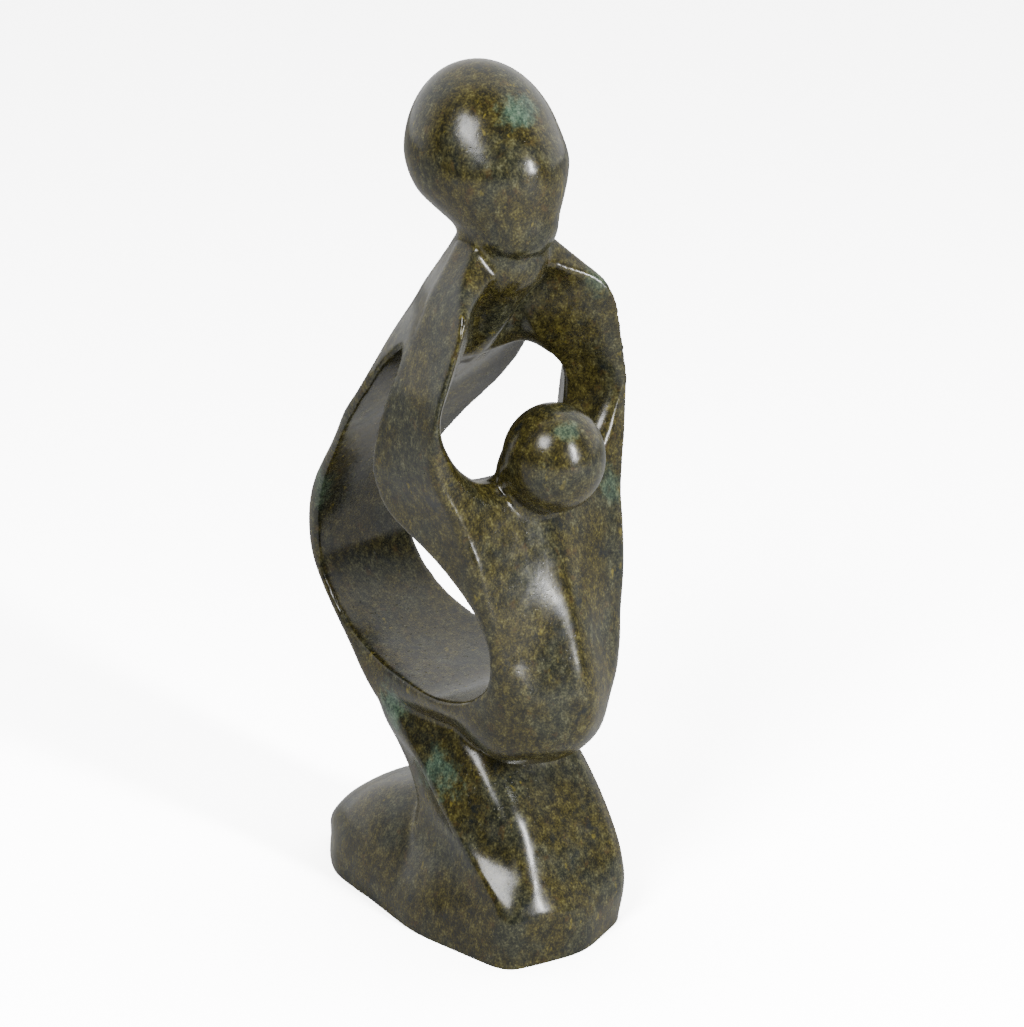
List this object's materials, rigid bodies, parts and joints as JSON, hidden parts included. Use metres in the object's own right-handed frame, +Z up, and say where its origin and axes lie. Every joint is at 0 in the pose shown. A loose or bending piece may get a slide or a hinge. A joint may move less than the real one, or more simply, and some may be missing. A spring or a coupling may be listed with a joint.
{
  "type": "mother and child sculpture",
  "caption": "Abstract carved stone figure of a kneeling mother whose arms run down into the child she holds, open between back and arms.",
  "frame": {"origin": "middle of the flat underside, on the middle plane of the figure", "axes": "+Z up, -Y the way the mother faces, +X her left"},
  "size_m": [0.1127, 0.1774, 0.3994],
  "materials": {
    "serpentine": "mottled green-brown serpentine, sanded and wax polished"
  },
  "bodies": {
    "root": {"mother_and_child": "serpentine"}
  },
  "joints": []
}
